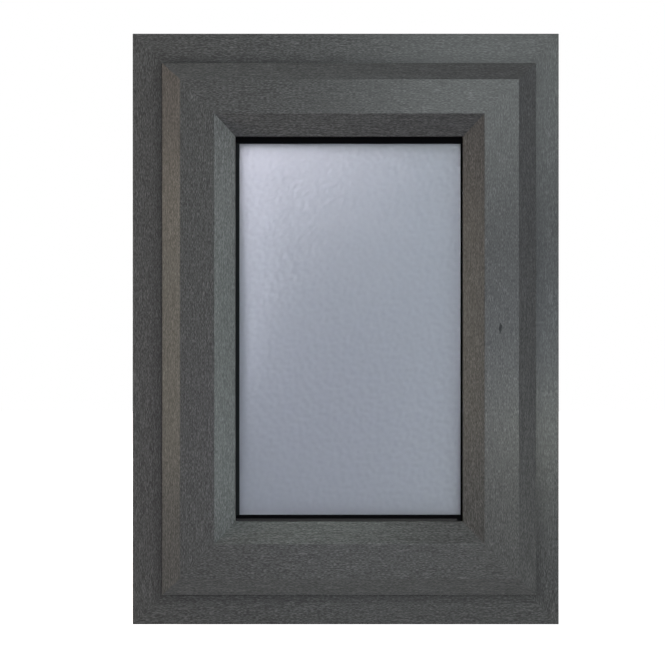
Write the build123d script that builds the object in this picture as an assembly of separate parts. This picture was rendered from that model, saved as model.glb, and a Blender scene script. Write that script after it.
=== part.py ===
from build123d import *
import os

# A small triple glazed casement window, closed, with welded hollow plastic profiles.
# Millimetres. +Z is up, the weather side faces -Y, and +X is to the right seen from outside.
# The origin is the middle of the frame's bottom face, halfway through the frame's depth.

# Overall size of the outer frame
window_width = 440.0
window_height = 610.0
frame_depth = 70.0

# Outer frame section: a body and, on the room side, an upstand that the sash shuts against
frame_body_width = 40.0
upstand_height = 18.0
perimeter_groove_width = 8.0
perimeter_groove_depth = 3.0
perimeter_groove_inset = 12.0

# Walls of every hollow profile
profile_wall = 2.8
profile_web = 1.6
corner_radius = 0.8

# Frame that shows round the sash, and how far the sash is set over to the right
margin_side = 28.0
margin_end = 32.0
sash_offset = 3.5

# Sash section, seen from its outer edge inwards
sash_section_width = 75.0
outer_bevel_width = 21.0
inner_bevel_width = 19.3
sash_face_proud = 19.0
flange_edge = 2.3
flange_width = 20.0
sight_edge = 3.0
rebate_floor = 56.0

# Gaps that the weather seals close
outer_seal_gap = 2.2
inner_seal_gap = 2.0
seal_groove_width = 3.0
seal_groove_depth = 2.5
outer_seal_inset = 9.5
inner_seal_inset = 3.5
seal_fit = 0.1
seal_contact_gap = 0.15

# Groove for the hinges and the lock, round the outside of the sash body
hardware_groove_width = 16.0
hardware_groove_depth = 4.0
hardware_groove_start = 18.0
hardware_fit = 0.2

# Friction stays, the riveted hinges in the gaps over and under the sash
stay_length = 230.0
stay_from_corner = 14.0
stay_plate = 2.5
stay_lip_thickness = 1.4
stay_lip_height = 1.6
stay_arm_width = 12.0
stay_arm_gap = 2.2
stay_short_arm = 62.0
stay_long_arm = 128.0
stay_bar_length = 180.0
rivet_diameter = 6.0

# Lock: a rail in the groove of the handle's stile, its gearbox and cams, and the keeps on the frame
lock_rail_from_corner = 88.0
lock_rail_thickness = 3.0
gearbox_length = 92.0
gearbox_thickness = 12.0
gearbox_past_spindle = 7.0
cam_diameter = 9.0
cam_from_end = 42.0
keep_length = 40.0
keep_thickness = 1.2
keep_lip_thickness = 2.5
keep_lip_height = 2.0
keep_gap = 0.5

# Drainage slots through the walls of the bottom rails
drain_slot_length = 25.0
drain_slot_width = 5.0
drain_slot_depth = 4.5
drain_from_corner = 68.0
drain_stagger = 60.0

# Glass unit: three panes, two spacer bars and the sealant behind them
pane_thickness = 4.0
cavity_thickness = 12.0
pane_arris = 0.5
glass_edge_gap = 5.0
spacer_height = 7.0
spacer_corner = 1.0
sealant_height = 4.0

# Gaskets on both faces of the unit, with the lips that show beyond the sash outside
outer_gasket_thickness = 4.0
outer_gasket_cover = 8.0
lip_start_drop = 0.6
lip_tip_thickness = 1.4
lip_left = 3.4
lip_right = 1.4
lip_top = 6.0
lip_bottom = 5.5
inner_gasket_thickness = 2.5
inner_gasket_width = 8.0
inner_gasket_lip = 1.0

# Narrow dark ledge on the sash below the glass, which stops short of the right corner
ledge_width = 2.4
ledge_thickness = 1.2
ledge_short_of_corner = 6.0

# Glazing beads, clipped in from the room side
bead_height = 17.5
bead_depth = 8.5
bead_edge = 2.5
bead_slope_start = 6.5
clip_height = 2.6
clip_depth = 2.5
clip_inset = 2.5
clip_fit = 0.15

# Packers that carry and centre the glass unit
packer_length = 60.0
packer_from_corner = 45.0

# Handle on the room side of the right stile
handle_base_width = 21.0
handle_base_length = 118.0
handle_base_height = 9.0
handle_base_round = 2.5
handle_hub_diameter = 19.0
handle_hub_height = 16.0
handle_lever_length = 104.0
handle_lever_root_width = 19.0
handle_lever_tip_width = 13.0
handle_lever_thickness = 9.0
handle_lever_round = 2.2
handle_running_gap = 0.3
button_diameter = 9.0
button_height = 3.0
button_fit = 0.2
spindle_size = 7.0
spindle_depth = 30.0
spindle_fit = 0.2
spindle_hole = 12.0

# Depths from the outer frame's weather face, positive towards the room
unit_thickness = 3 * pane_thickness + 2 * cavity_thickness
glass_front = outer_gasket_thickness
glass_back = glass_front + unit_thickness
bead_back = glass_back + inner_gasket_thickness
sash_back = bead_back + bead_depth
upstand_front = sash_back + inner_seal_gap
flange_back = -outer_seal_gap
flange_front = flange_back - flange_edge
sash_face = -sash_face_proud

# Places across the sections
frame_section_width = frame_body_width + upstand_height
glass_edge = rebate_floor + glass_edge_gap
face_start = outer_bevel_width
face_end = sash_section_width - inner_bevel_width
groove_floor = flange_width + hardware_groove_depth
hardware_middle = hardware_groove_start + hardware_groove_width / 2
hardware_width = hardware_groove_width - 2 * hardware_fit

SIDES = ("top", "bottom", "left", "right")
LIPS = {"top": lip_top, "bottom": lip_bottom, "left": lip_left, "right": lip_right}


class Ring:
    """A rectangle of profiles: its outer edges, and one section plane for each side."""

    def __init__(self, left, right, bottom, top):
        self.left = left
        self.right = right
        self.bottom = bottom
        self.top = top

    def inset(self, distance):
        left, right = self.left + distance, self.right - distance
        return Ring(left, right, self.bottom + distance, self.top - distance)

    def length(self, side):
        if side in ("top", "bottom"):
            return self.right - self.left
        return self.top - self.bottom

    def plane(self, side):
        """Local x runs inwards from the ring's edge, local y into the wall, local z along the side."""
        front = -frame_depth / 2
        if side == "left":
            return Plane((self.left, front, self.bottom), x_dir=(1, 0, 0), z_dir=(0, 0, 1))
        if side == "right":
            return Plane((self.right, front, self.top), x_dir=(-1, 0, 0), z_dir=(0, 0, -1))
        if side == "bottom":
            return Plane((self.right, front, self.bottom), x_dir=(0, 0, 1), z_dir=(-1, 0, 0))
        return Plane((self.left, front, self.top), x_dir=(0, 0, -1), z_dir=(1, 0, 0))

    def centre(self, depth):
        return Vector((self.left + self.right) / 2, depth - frame_depth / 2, (self.bottom + self.top) / 2)


FRAME_RING = Ring(-window_width / 2, window_width / 2, 0, window_height)
SASH_RING = Ring(
    FRAME_RING.left + margin_side + sash_offset,
    FRAME_RING.right - margin_side + sash_offset,
    FRAME_RING.bottom + margin_end,
    FRAME_RING.top - margin_end,
)


def area(*points):
    """A flat area of a section, from its corners."""
    return make_face(Polyline(*points, close=True))


def block(low_across, high_across, low_depth, high_depth):
    """A rectangle of a section."""
    width = high_across - low_across
    depth = high_depth - low_depth
    return Pos(low_across, low_depth) * Rectangle(width, depth, align=(Align.MIN, Align.MIN))


def grown(rectangle, distance):
    """The same rectangle, larger all round."""
    box = rectangle.bounding_box()
    return block(box.min.X - distance, box.max.X + distance, box.min.Y - distance, box.max.Y + distance)


def mitred(section, ring, side):
    """A length of profile along one side of a ring, cut at 45 degrees at both ends."""
    length = ring.length(side)
    bar = extrude(section, length)
    box = bar.bounding_box()
    low, high = box.min.X, box.max.X
    wedge = make_face(
        Polyline((low, low), (high, high), (high, length - high), (low, length - low), close=True)
    )
    # The wedge is drawn across and along the profile, so it is turned to stand through its depth.
    cutter = extrude(Plane.XZ * wedge, box.max.Y - box.min.Y + 2)
    cutter = Pos(0, box.max.Y + 1, 0) * cutter
    return ring.plane(side) * (bar & cutter)


def joined_ring(section, ring):
    """One piece all the way round."""
    return fused([mitred(section, ring, side) for side in SIDES])


def fused(pieces):
    whole = pieces[0]
    for piece in pieces[1:]:
        whole = whole + piece
    return whole


def hollow_profile(outline, core, webs, grooves):
    """A hollow section: the outline less its chambers and its grooves."""
    chambers = offset(core, amount=-profile_wall, kind=Kind.INTERSECTION)
    for web in webs:
        chambers = chambers - web
    for groove in grooves:
        chambers = chambers - grown(groove, profile_web)
    section = outline - chambers
    for groove in grooves:
        section = section - groove
    return section


def frame_section():
    outline = area(
        (0, 0),
        (frame_body_width, 0),
        (frame_body_width, upstand_front),
        (frame_section_width, upstand_front),
        (frame_section_width, frame_depth),
        (0, frame_depth),
    )
    first_groove = perimeter_groove_inset
    second_groove = frame_depth - perimeter_groove_inset - perimeter_groove_width
    grooves = [
        block(0, perimeter_groove_depth, first_groove, first_groove + perimeter_groove_width),
        block(0, perimeter_groove_depth, second_groove, second_groove + perimeter_groove_width),
        inner_seal_groove(),
    ]
    front_web = first_groove + perimeter_groove_width
    back_web = second_groove - profile_web
    webs = [
        block(0, frame_body_width, front_web, front_web + profile_web),
        block(0, frame_body_width, back_web, back_web + profile_web),
        block(frame_body_width - profile_wall, frame_body_width, 0, frame_depth),
    ]
    rounded = fillet(outline.vertices(), corner_radius)
    return hollow_profile(rounded, outline, webs, grooves)


def inner_seal_groove():
    """Groove in the upstand's face, across the frame section."""
    high = frame_section_width - inner_seal_inset + seal_groove_width / 2
    low = high - seal_groove_width
    return block(low, high, upstand_front, upstand_front + seal_groove_depth)


def outer_seal_groove():
    """Groove in the back of the sash flange, across the sash section."""
    low = outer_seal_inset - seal_groove_width / 2
    return block(low, low + seal_groove_width, flange_back - seal_groove_depth, flange_back)


def clip_groove():
    """Groove in the floor of the glazing rebate that the bead's foot clips into."""
    high = sash_back - clip_inset + clip_fit
    low = high - clip_height - 2 * clip_fit
    return block(rebate_floor - clip_depth - clip_fit, rebate_floor, low, high)


def sash_outline():
    return area(
        (0, flange_front),
        (face_start, sash_face),
        (face_end, sash_face),
        (sash_section_width, -sight_edge),
        (sash_section_width, 0),
        (rebate_floor, 0),
        (rebate_floor, sash_back),
        (flange_width, sash_back),
        (flange_width, flange_back),
        (0, flange_back),
    )


def sash_section():
    outline = sash_outline()
    hardware_end = hardware_groove_start + hardware_groove_width
    grooves = [
        outer_seal_groove(),
        clip_groove(),
        block(flange_width, flange_width + hardware_groove_depth, hardware_groove_start, hardware_end),
    ]
    before_groove = hardware_groove_start - profile_web
    after_groove = hardware_end + profile_web
    webs = [
        block(flange_width, rebate_floor, flange_back - profile_web, flange_back),
        block(flange_width, rebate_floor, before_groove - profile_web, before_groove),
        block(flange_width, rebate_floor, after_groove, after_groove + profile_web),
        block(flange_width, flange_width + profile_wall, sash_face, 0),
        block(rebate_floor - profile_wall, rebate_floor, sash_face, 0),
    ]
    rounded = fillet(outline.vertices(), corner_radius)
    return hollow_profile(rounded, outline, webs, grooves)


def drain_slots(ring, low_across, inwards=0.0):
    """Two slots through one wall of a bottom rail, the same distance from both ends."""
    low_depth, high_depth = drain_slot_depth, drain_slot_depth + drain_slot_width
    section = block(low_across, low_across + profile_wall, low_depth, high_depth)
    first = drain_from_corner + inwards
    starts = (first, ring.length("bottom") - first - drain_slot_length)
    slots = [Pos(0, 0, start) * extrude(section, drain_slot_length) for start in starts]
    return ring.plane("bottom") * fused(slots)


def frame_members():
    names = ("frame_head", "frame_bottom_rail", "frame_left_jamb", "frame_right_jamb")
    section = frame_section()
    members = {name: mitred(section, FRAME_RING, side) for name, side in zip(names, SIDES)}
    rail = members["frame_bottom_rail"]
    rail = rail - drain_slots(FRAME_RING, frame_body_width - profile_wall)
    members["frame_bottom_rail"] = rail - drain_slots(FRAME_RING, 0, drain_stagger)
    return members


def sash_members():
    names = ("sash_top_rail", "sash_bottom_rail", "sash_left_stile", "sash_right_stile")
    section = sash_section()
    members = {name: mitred(section, SASH_RING, side) for name, side in zip(names, SIDES)}
    rail = members["sash_bottom_rail"]
    rail = rail - drain_slots(SASH_RING, rebate_floor - profile_wall)
    rail = rail - drain_slots(SASH_RING, flange_width, drain_stagger)
    members["sash_bottom_rail"] = rail + sill_ledge()
    members["sash_right_stile"] = members["sash_right_stile"] - spindle_bore() - gearbox_pocket()
    return members


def sill_ledge():
    """The narrow ledge under the glass, along the bottom sight line."""
    sight = SASH_RING.inset(sash_section_width)
    low = Vector(sight.left, -ledge_thickness - frame_depth / 2, sight.bottom)
    length = sight.right - sight.left - ledge_short_of_corner
    return Pos(low) * Box(length, ledge_thickness, ledge_width, align=(Align.MIN, Align.MIN, Align.MIN))


def pane(depth):
    edge = SASH_RING.inset(glass_edge)
    sheet = Pos(edge.centre(depth + pane_thickness / 2)) * Box(
        edge.right - edge.left, pane_thickness, edge.top - edge.bottom
    )
    rim = sheet.faces().filter_by(Axis.Y).edges()
    return chamfer(rim, pane_arris)


def flat_ring(outer_inset, height, low_depth, high_depth, corner=0.0):
    """A rectangular ring of plain section, in one piece, with its corners cut off on the outer side."""
    section = block(0, height, low_depth, high_depth)
    if corner:
        section = chamfer(section.vertices().group_by(Axis.X)[0], corner)
    return joined_ring(section, SASH_RING.inset(outer_inset))


def glass_unit():
    depths = [glass_front + index * (pane_thickness + cavity_thickness) for index in range(3)]
    cavities = [depth + pane_thickness for depth in depths[:2]]
    spacer_edge = glass_edge + sealant_height
    pieces = {name: pane(depth) for name, depth in zip(("outer_pane", "middle_pane", "inner_pane"), depths)}
    for name, low in zip(("outer_spacer_bar", "inner_spacer_bar"), cavities):
        pieces[name] = flat_ring(spacer_edge, spacer_height, low, low + cavity_thickness, spacer_corner)
    beads = [flat_ring(glass_edge, sealant_height, low, low + cavity_thickness) for low in cavities]
    pieces["edge_sealant"] = Compound(children=beads)
    return pieces


def lip_section(lip):
    """Outer gasket: a flat strip behind the sash leg, and a lip that slopes down to the glass."""
    start = sash_section_width - outer_gasket_cover
    tip = sash_section_width + lip
    return area(
        (start, 0),
        (sash_section_width, 0),
        (sash_section_width, lip_start_drop),
        (tip, glass_front - lip_tip_thickness),
        (tip, glass_front),
        (start, glass_front),
    )


def outer_gaskets():
    """The level gaskets run right across, and the upright ones fit between them."""
    across = sash_section_width - outer_gasket_cover
    pieces = {}
    for side in ("top", "bottom"):
        run = SASH_RING.length(side) - 2 * across
        bar = extrude(lip_section(LIPS[side]), run)
        pieces[side] = SASH_RING.plane(side) * (Pos(0, 0, across) * bar)
    ends = {"left": ("bottom", "top"), "right": ("top", "bottom")}
    for side, (first, last) in ends.items():
        start = sash_section_width + LIPS[first]
        run = SASH_RING.length(side) - start - sash_section_width - LIPS[last]
        bar = extrude(lip_section(LIPS[side]), run)
        pieces[side] = SASH_RING.plane(side) * (Pos(0, 0, start) * bar)
    return {f"outer_gasket_{side}": pieces[side] for side in SIDES}


def bead_top():
    """Where the beads end across the sash section, on the glass."""
    return rebate_floor + bead_height


def inner_gaskets():
    high = bead_top() + inner_gasket_lip
    section = block(high - inner_gasket_width, high, glass_back, bead_back)
    section = chamfer(section.vertices().sort_by(Axis.X)[-2:].sort_by(Axis.Y)[-1], inner_gasket_lip)
    return {f"inner_gasket_{side}": mitred(section, SASH_RING, side) for side in SIDES}


def bead_section():
    high = bead_top()
    body = area(
        (rebate_floor, bead_back),
        (high, bead_back),
        (high, bead_back + bead_edge),
        (rebate_floor + bead_slope_start, sash_back),
        (rebate_floor, sash_back),
    )
    body = fillet(body.vertices().group_by(Axis.X)[-1], corner_radius)
    foot_back = sash_back - clip_inset
    foot = block(rebate_floor - clip_depth, rebate_floor, foot_back - clip_height, foot_back)
    return body + foot


def glazing_beads():
    section = bead_section()
    return {f"glazing_bead_{side}": mitred(section, SASH_RING, side) for side in SIDES}


def seal_section(groove, towards):
    """A seal's foot in its groove and a round bulb that closes the gap. towards is +1 or -1 in depth."""
    box = groove.bounding_box()
    middle = (box.min.X + box.max.X) / 2
    half = seal_groove_width / 2 - seal_fit
    if towards > 0:
        mouth, bottom, gap = box.max.Y, box.min.Y + seal_fit, outer_seal_gap
    else:
        mouth, bottom, gap = box.min.Y, box.max.Y - seal_fit, inner_seal_gap
    foot = block(middle - half, middle + half, min(mouth, bottom), max(mouth, bottom))
    reach = gap - seal_contact_gap
    bulb = make_face(
        ThreePointArc((middle - half, mouth), (middle, mouth + towards * reach), (middle + half, mouth))
        + Line((middle + half, mouth), (middle - half, mouth))
    )
    return foot + bulb


def weather_seals():
    return {
        "outer_weather_seal": joined_ring(seal_section(outer_seal_groove(), 1), SASH_RING),
        "inner_weather_seal": joined_ring(seal_section(inner_seal_groove(), -1), FRAME_RING),
    }


def glazing_packers():
    """Two packers a side, between the rebate floor and the edge of the unit."""
    section = block(rebate_floor, glass_edge, glass_front, glass_back)
    pieces = []
    for side in SIDES:
        length = SASH_RING.length(side)
        first = rebate_floor + packer_from_corner
        for start in (first, length - first - packer_length):
            packer = Pos(0, 0, start) * extrude(section, packer_length)
            pieces.append(SASH_RING.plane(side) * packer)
    return Compound(children=pieces)


def raised(outline, across, along, height):
    """A plate in the hardware gap, drawn along the profile and raised across it, away from the edge."""
    ground = Plane((across, hardware_middle, along), x_dir=(0, 0, 1), z_dir=(1, 0, 0))
    return ground * extrude(outline, height)


def stay_track(start):
    """The channel that is screwed to the frame."""
    middle = start + stay_length / 2
    floor = raised(Rectangle(stay_length, hardware_width), frame_body_width, middle, stay_plate)
    edge = (hardware_width - stay_lip_thickness) / 2
    lip = Rectangle(stay_length, stay_lip_thickness)
    lips = [Pos(0, place) * lip for place in (-edge, edge)]
    height = stay_plate + stay_lip_height
    return fused([floor] + [raised(outline, frame_body_width, middle, height) for outline in lips])


def friction_stay():
    """The hinge when shut: each arm is riveted to the track at one end and to the bar at the other."""
    bar_low = margin_end + groove_floor - stay_plate
    track_floor = frame_body_width + stay_plate
    arm_low = track_floor + stay_arm_gap
    start = margin_side + sash_offset + flange_width + stay_from_corner
    short_start = start + stay_arm_gap
    long_start = short_start + stay_short_arm + stay_arm_gap
    bar_outline = Rectangle(stay_bar_length, hardware_width)
    bar = raised(bar_outline, bar_low, start + stay_bar_length / 2, stay_plate)
    pieces = [stay_track(start), bar]
    rivet = Circle(rivet_diameter / 2)
    for arm_start, arm_length, on_track_first in (
        (short_start, stay_short_arm, True),
        (long_start, stay_long_arm, False),
    ):
        ends = [arm_start + stay_arm_width / 2, arm_start + arm_length - stay_arm_width / 2]
        if not on_track_first:
            ends.reverse()
        outline = SlotOverall(arm_length, stay_arm_width)
        pieces.append(raised(outline, arm_low, arm_start + arm_length / 2, stay_plate))
        pieces.append(raised(rivet, track_floor, ends[0], stay_arm_gap + stay_plate))
        pieces.append(raised(rivet, arm_low, ends[1], bar_low - arm_low))
    return FRAME_RING.plane("top") * fused(pieces)


def friction_stays():
    top = friction_stay()
    bottom = mirror(top, about=Plane.XY.offset(window_height / 2))
    return {"friction_stay_top": top, "friction_stay_bottom": bottom}


def gearbox(clearance):
    """The lock's gearbox behind the rail, or with a clearance, its pocket in the stile."""
    reach = handle_across() + gearbox_past_spindle - groove_floor
    outline = Rectangle(gearbox_length + 2 * clearance, gearbox_thickness + 2 * clearance)
    return raised(outline, groove_floor, SASH_RING.length("right") / 2, reach + clearance)


def gearbox_pocket():
    return SASH_RING.plane("right") * gearbox(hardware_fit)


def cam_places():
    """Distances of the lock's cams from the top of the stile."""
    first = lock_rail_from_corner + cam_from_end
    return (first, SASH_RING.length("right") - first)


def frame_rebate():
    """Where the frame's rebate lies across the sash section, on the handle's side."""
    return frame_body_width - (FRAME_RING.right - SASH_RING.right)


def lock_rail():
    plate_low = groove_floor - lock_rail_thickness
    length = SASH_RING.length("right")
    plate = Rectangle(length - 2 * lock_rail_from_corner, hardware_width)
    rail = raised(plate, plate_low, length / 2, lock_rail_thickness) + gearbox(0)
    cam_tip = frame_rebate() + keep_thickness + keep_gap
    for place in cam_places():
        rail = rail + raised(Circle(cam_diameter / 2), cam_tip, place, plate_low - cam_tip)
    return SASH_RING.plane("right") * rail - square_hole(-sash_back, 0)


def lock_keeps():
    """Plates on the frame beside the cams, each with a lip on the weather side that a cam pulls against."""
    lip_side = cam_diameter / 2 + keep_gap + keep_lip_thickness
    plate = Rectangle(keep_length, 2 * lip_side)
    # The plate is drawn with its local y towards the weather side.
    lip = Pos(0, lip_side - keep_lip_thickness / 2) * Rectangle(keep_length, keep_lip_thickness)
    keeps = []
    for place in cam_places():
        keep = raised(plate, frame_rebate(), place, keep_thickness)
        keeps.append(keep + raised(lip, frame_rebate(), place, keep_thickness + keep_lip_height))
    return Compound(children=[SASH_RING.plane("right") * keep for keep in keeps])


def handle_across():
    """Middle of the flat of the right stile, between the frame's upstand and the bead."""
    flat_start = frame_section_width - (FRAME_RING.right - SASH_RING.right)
    return (flat_start + rebate_floor) / 2


def handle_place():
    middle = (SASH_RING.bottom + SASH_RING.top) / 2
    return Vector(SASH_RING.right - handle_across(), sash_back - frame_depth / 2, middle)


def outwards(place, rise=0.0):
    """A plane on the sash, seen from the room, that its pieces are extruded from."""
    return Plane(place + Vector(0, rise, 0), x_dir=(-1, 0, 0), z_dir=(0, 1, 0))


def spindle_bore():
    place = handle_place()
    return outwards(place, -spindle_depth) * extrude(Circle(spindle_hole / 2), spindle_depth)


def square_hole(low, high):
    """The hole that the spindle fits, between two heights above the sash."""
    side = spindle_size + 2 * spindle_fit
    return outwards(handle_place(), low) * extrude(Rectangle(side, side), high - low)


def handle_base():
    plate = extrude(SlotOverall(handle_base_length, handle_base_width, rotation=90), handle_base_height)
    plate = fillet(plate.faces().sort_by(Axis.Z)[-1].edges(), handle_base_round)
    return outwards(handle_place()) * plate - square_hole(0, handle_base_height)


def handle_lever():
    """Drawn from the front and from the side, and common to both shapes."""
    hub = handle_hub_diameter / 2
    rise = handle_base_height + handle_running_gap
    top = rise + handle_hub_height
    under = top - handle_lever_thickness
    root = handle_lever_root_width / 2
    tip = handle_lever_tip_width / 2
    front = make_face(
        Polyline((-root, 0), (-tip, -handle_lever_length + tip))
        + ThreePointArc(
            (-tip, -handle_lever_length + tip), (0, -handle_lever_length), (tip, -handle_lever_length + tip)
        )
        + Polyline((tip, -handle_lever_length + tip), (root, 0))
        + ThreePointArc((root, 0), (0, root), (-root, 0))
    )
    blade = Pos(0, 0, under) * extrude(front, handle_lever_thickness)
    blade = fillet(blade.faces().sort_by(Axis.Z)[-1].edges(), handle_lever_round)
    boss = Pos(0, 0, rise) * extrude(Circle(hub), under - rise)
    lever = blade + boss
    well = Pos(0, 0, top - button_height) * extrude(Circle(button_diameter / 2 + button_fit), button_height)
    return outwards(handle_place()) * (lever - well) - square_hole(rise, rise + handle_hub_height / 2)


def handle_button():
    top = handle_base_height + handle_running_gap + handle_hub_height
    button = Pos(0, 0, top - button_height) * extrude(Circle(button_diameter / 2), button_height)
    return outwards(handle_place()) * button


def handle_spindle():
    reach = spindle_depth + handle_base_height + handle_running_gap + handle_hub_height / 2 - spindle_fit
    bar = extrude(Rectangle(spindle_size, spindle_size), reach)
    return outwards(handle_place(), -spindle_depth) * bar


def build_all():
    pieces = {}
    pieces.update(frame_members())
    pieces.update(sash_members())
    pieces.update(glass_unit())
    pieces.update(outer_gaskets())
    pieces.update(inner_gaskets())
    pieces.update(glazing_beads())
    pieces.update(weather_seals())
    pieces["glazing_packers"] = glazing_packers()
    pieces.update(friction_stays())
    pieces["lock_rail"] = lock_rail()
    pieces["lock_keeps"] = lock_keeps()
    pieces["handle_base"] = handle_base()
    pieces["handle_lever"] = handle_lever()
    pieces["handle_lock_button"] = handle_button()
    pieces["handle_spindle"] = handle_spindle()
    return pieces


os.makedirs("parts", exist_ok=True)
for name, piece in build_all().items():
    export_step(piece, f"parts/{name}.step")
    print(name, round(piece.volume))
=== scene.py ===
# %% [markdown]
# # A small triple glazed window: giving a modelled window its real finishes
#
# The window is a closed casement of hollow plastic bars. Its construction is already modelled, so this
# script gives each bar, pane and gasket its finish, adds the things that are too fine for a construction
# model, and sets up a plain studio. We go through it in the order a window is made: bars, rubber, glass,
# handle, and then the room it is photographed in.

# %% Load the window as it is built
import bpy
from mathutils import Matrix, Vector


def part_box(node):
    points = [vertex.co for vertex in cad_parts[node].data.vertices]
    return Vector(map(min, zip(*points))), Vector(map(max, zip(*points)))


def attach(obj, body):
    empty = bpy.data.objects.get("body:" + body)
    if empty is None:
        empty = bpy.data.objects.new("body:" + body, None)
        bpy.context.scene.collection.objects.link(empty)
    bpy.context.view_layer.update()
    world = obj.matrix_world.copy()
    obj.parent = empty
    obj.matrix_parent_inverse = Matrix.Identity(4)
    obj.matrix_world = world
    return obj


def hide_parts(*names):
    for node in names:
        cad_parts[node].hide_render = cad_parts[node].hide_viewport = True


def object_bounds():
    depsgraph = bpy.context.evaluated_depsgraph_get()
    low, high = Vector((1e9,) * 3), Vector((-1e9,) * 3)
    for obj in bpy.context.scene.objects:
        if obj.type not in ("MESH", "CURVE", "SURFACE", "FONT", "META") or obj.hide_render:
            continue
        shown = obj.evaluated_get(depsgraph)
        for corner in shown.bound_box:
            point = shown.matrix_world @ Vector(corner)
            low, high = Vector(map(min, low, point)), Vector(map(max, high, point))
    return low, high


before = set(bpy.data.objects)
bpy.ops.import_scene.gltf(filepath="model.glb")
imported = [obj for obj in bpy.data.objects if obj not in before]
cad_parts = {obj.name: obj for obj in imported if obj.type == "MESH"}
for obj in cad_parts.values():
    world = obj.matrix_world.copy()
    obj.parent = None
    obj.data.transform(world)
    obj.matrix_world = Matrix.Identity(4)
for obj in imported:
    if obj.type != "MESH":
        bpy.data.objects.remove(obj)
cad_low, cad_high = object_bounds()
print("pieces loaded:", len(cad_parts))

# %% [markdown]
# Three of Blender's own modules do the work: bpy holds the scene, bmesh makes and changes meshes, and
# mathutils has the vectors, the turns and the noise.

# %% Import what the rest of the lesson needs
import math

import bmesh
import bpy
from mathutils import Matrix, Vector, noise

print("Blender", bpy.app.version_string)

# %% [markdown]
# Every length in Blender is in metres here, while a window maker thinks in millimetres. One value keeps the
# numbers readable.

# %% Units
MM = 0.001
print("the window is", round((cad_high.x - cad_low.x) / MM), "mm wide")

# %% [markdown]
# ## Camera
#
# The picture is taken straight on, a little left of the middle and just under half height. Turning or
# shifting the camera would skew the frame's edges. So it looks along +Y with no turn, and stands where its
# axis meets the window.

# %% Camera
PICTURE_ANGLE = math.radians(45)
CAMERA_DISTANCE = 828.4 * MM
CAMERA_LEFT = 13.63 * MM
CAMERA_HEIGHT = 301.4 * MM
NEAREST_SEEN = 10 * MM
SENSOR = 36.0

frame_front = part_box("frame_head")[0].y
camera_data = bpy.data.cameras.new("camera")
camera_data.sensor_width = SENSOR
camera_data.lens = SENSOR / 2 / math.tan(PICTURE_ANGLE / 2)
camera_data.clip_start = NEAREST_SEEN
camera = bpy.data.objects.new("camera", camera_data)
camera.location = (-CAMERA_LEFT, frame_front - CAMERA_DISTANCE, CAMERA_HEIGHT)
camera.rotation_euler = (math.radians(90), 0, 0)
bpy.context.scene.collection.objects.link(camera)
bpy.context.scene.camera = camera
print("camera stands", round(CAMERA_DISTANCE, 3), "m in front of the frame")

# %% [markdown]
# ## Woodgrain foil
#
# The bars are wrapped in an anthracite foil, embossed with short fine strokes along the length of each bar.
# At a welded corner the strokes of one bar meet those of the next at 45 degrees, and that is what shows the
# mitre. An image of wood would be the easy way. Noise stretched along one axis gives the same strokes at
# true scale with no image: short dashes, and long hairlines between them.

# %% Sizes of the strokes
DASH_ACROSS, DASH_ALONG = 0.45 * MM, 3.2 * MM
HAIR_ACROSS, HAIR_ALONG = 0.5 * MM, 22 * MM
HAIR_SHARE = 0.32
WAVE_LENGTH, WAVE_SWAY = 20 * MM, 0.7 * MM
print("a dash is", round(DASH_ALONG / DASH_ACROSS, 1), "times as long as it is wide")

# %% [markdown]
# Each finish below is a tree of nodes. Adding nodes one by one is wordy, so two small helpers add a node
# with its sockets set, and link two nodes. Where a node and its outlet travel together, they are a pair.

# %% Helpers for node trees


def add(tree, kind, inputs=(), **settings):
    node = tree.nodes.new(kind)
    for key, value in settings.items():
        setattr(node, key, value)
    for key, value in dict(inputs).items():
        node.inputs[key].default_value = value
    return node


def link(tree, start, out, end, into):
    tree.links.new(start.outputs[out], end.inputs[into])


# %% [markdown]
# A pattern that sits on the object needs coordinates that stay with it. Generated coordinates stretch with
# the box of each piece, so we read Object coordinates, which are metres here. Real grain wanders, so another
# helper bends those coordinates a little, with noise that is first moved to lie evenly about zero. A noise
# texture's detail says how much finer noise is laid over its cells.

# %% Places on the object
SMOOTH, FINE = 1.0, 2.0
NOISE_MIDDLE = (0.5, 0.5, 0.5)


def object_place(tree):
    return add(tree, "ShaderNodeTexCoord"), "Object"


def wandering(tree, source, out, size, amount):
    """Coordinates pushed to and fro by up to half of amount, in waves about size long."""
    waves = add(tree, "ShaderNodeTexNoise", {"Scale": 1 / size, "Detail": SMOOTH})
    link(tree, source, out, waves, "Vector")
    centred = add(tree, "ShaderNodeVectorMath", {1: NOISE_MIDDLE}, operation="SUBTRACT")
    link(tree, waves, "Color", centred, 0)
    pushed = add(tree, "ShaderNodeVectorMath", {1: (amount, amount, amount)}, operation="MULTIPLY")
    link(tree, centred, 0, pushed, 0)
    moved = add(tree, "ShaderNodeVectorMath", operation="ADD")
    link(tree, source, out, moved, 0)
    link(tree, pushed, 0, moved, 1)
    return moved, 0


# %% [markdown]
# Scaling the coordinates before they reach a noise texture sets the size of its cells. A scale that is small
# along one axis draws the cells out into strokes. The foil takes dashes and hairlines in a fixed share.

# %% Strokes of the foil


def noise_in(tree, source, out, size, detail=FINE):
    """Noise whose cells are size, three lengths in metres."""
    mapping = add(tree, "ShaderNodeMapping", {"Scale": [1 / length for length in size]})
    link(tree, source, out, mapping, "Vector")
    cells = add(tree, "ShaderNodeTexNoise", {"Scale": 1.0, "Detail": detail})
    link(tree, mapping, "Vector", cells, "Vector")
    return cells


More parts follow.
